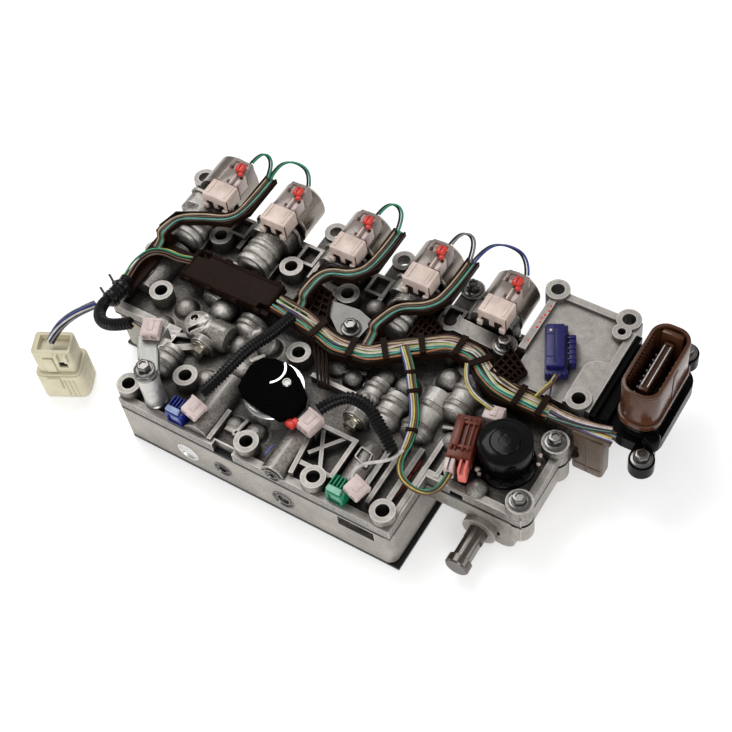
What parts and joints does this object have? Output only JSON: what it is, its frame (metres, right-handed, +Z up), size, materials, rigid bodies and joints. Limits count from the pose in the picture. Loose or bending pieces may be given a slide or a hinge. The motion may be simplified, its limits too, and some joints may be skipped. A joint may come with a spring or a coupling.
{
  "type": "transmission valve body",
  "caption": "Two-layer aluminium valve body with a row of linear solenoids, a wire harness, a control unit, a case connector and a sliding manual valve.",
  "frame": {"origin": "on the underside of the bottom plate, below the middle of the deck", "axes": "+X along the long side towards the case connector, +Y towards the solenoids, +Z up"},
  "size_m": [0.4033, 0.2064, 0.092],
  "materials": {
    "casting": "machined and as-cast aluminium",
    "sheet_dark": "dark gasketed sheet",
    "gasket": "dark coated sheet",
    "steel": "ground steel",
    "can_steel": "drawn steel",
    "bolt_steel": "zinc plated",
    "plug_bright": "bright",
    "connector_white": "moulded, slightly clear",
    "clip_red": "moulded",
    "frame_brown": "moulded dark brown",
    "wire_mix": "insulated wires",
    "conduit_black": "corrugated",
    "black_plastic": "moulded",
    "blue_plastic": "moulded",
    "green_plastic": "moulded",
    "brown_red": "moulded",
    "pale_red": "moulded",
    "case_brown": "moulded",
    "elbow_tan": "moulded",
    "seal_rubber": "moulded",
    "cream_plastic": "moulded",
    "pink_plastic": "moulded",
    "grey_steel": "plated sheet"
  },
  "bodies": {
    "valve_body": {"bottom_plate": "sheet_dark", "lower_body": "casting", "separator_plate": "gasket", "upper_body": "casting", "bore_plug_left": "plug_bright", "bore_plug_middle": "steel", "bore_plug_right": "steel", "spring_left": "steel", "spring_middle": "steel", "spring_right": "steel", "deck_bore_plug": "steel", "solenoid_noses": "casting", "solenoid_connectors": "connector_white", "lock_clips": "clip_red", "hold_down_plate": "grey_steel", "control_unit": "casting", "unit_connector": "blue_plastic", "unit_bracket": "black_plastic", "case_flange": "black_plastic", "case_connector": "case_brown", "case_seals": "seal_rubber", "harness_frame": "frame_brown", "duct_cover": "frame_brown", "main_bundle": "wire_mix", "wire_clips": "frame_brown", "conduits": "conduit_black", "branch_wires": "wire_mix", "blue_switch": "blue_plastic", "green_switch": "green_plastic", "switch_connectors": "connector_white", "round_cover": "black_plastic", "cover_connector": "pink_plastic", "small_solenoid": "can_steel", "flange_bolts": "bolt_steel", "side_bolts": "bolt_steel", "sensor_sleeve": "casting", "sensor_bracket": "grey_steel", "bracket_connector": "connector_white", "cap_sensor": "black_plastic", "cap_connector": "connector_white", "range_connector": "brown_red", "range_plug": "pale_red", "wire_elbow": "elbow_tan", "pigtail_cord": "wire_mix", "pigtail_plug": "cream_plastic", "solenoid_can_1": "can_steel", "solenoid_can_2": "can_steel", "solenoid_can_3": "can_steel", "solenoid_can_4": "can_steel", "solenoid_can_5": "can_steel"},
    "manual_valve": {"manual_valve": "steel"},
    "spool_left": {"spool_left": "steel"},
    "spool_middle": {"spool_middle": "steel"},
    "spool_right": {"spool_right": "steel"}
  },
  "joints": [
    {"name": "manual_valve_slide", "type": "slide", "parent": "valve_body", "child": "manual_valve", "axis": [0, -1, 0], "range_m": [-0.014, 0.006]},
    {"name": "spool_left_slide", "type": "slide", "parent": "valve_body", "child": "spool_left", "axis": [0, -1, 0], "range_m": [0, 0.005], "stiffness_N_per_m": 400, "springref_m": -0.005, "deforming": ["spring_left"]},
    {"name": "spool_middle_slide", "type": "slide", "parent": "valve_body", "child": "spool_middle", "axis": [0, -1, 0], "range_m": [0, 0.005], "stiffness_N_per_m": 400, "springref_m": -0.005, "deforming": ["spring_middle"]},
    {"name": "spool_right_slide", "type": "slide", "parent": "valve_body", "child": "spool_right", "axis": [0, -1, 0], "range_m": [0, 0.005], "stiffness_N_per_m": 400, "springref_m": -0.005, "deforming": ["spring_right"]}
  ]
}
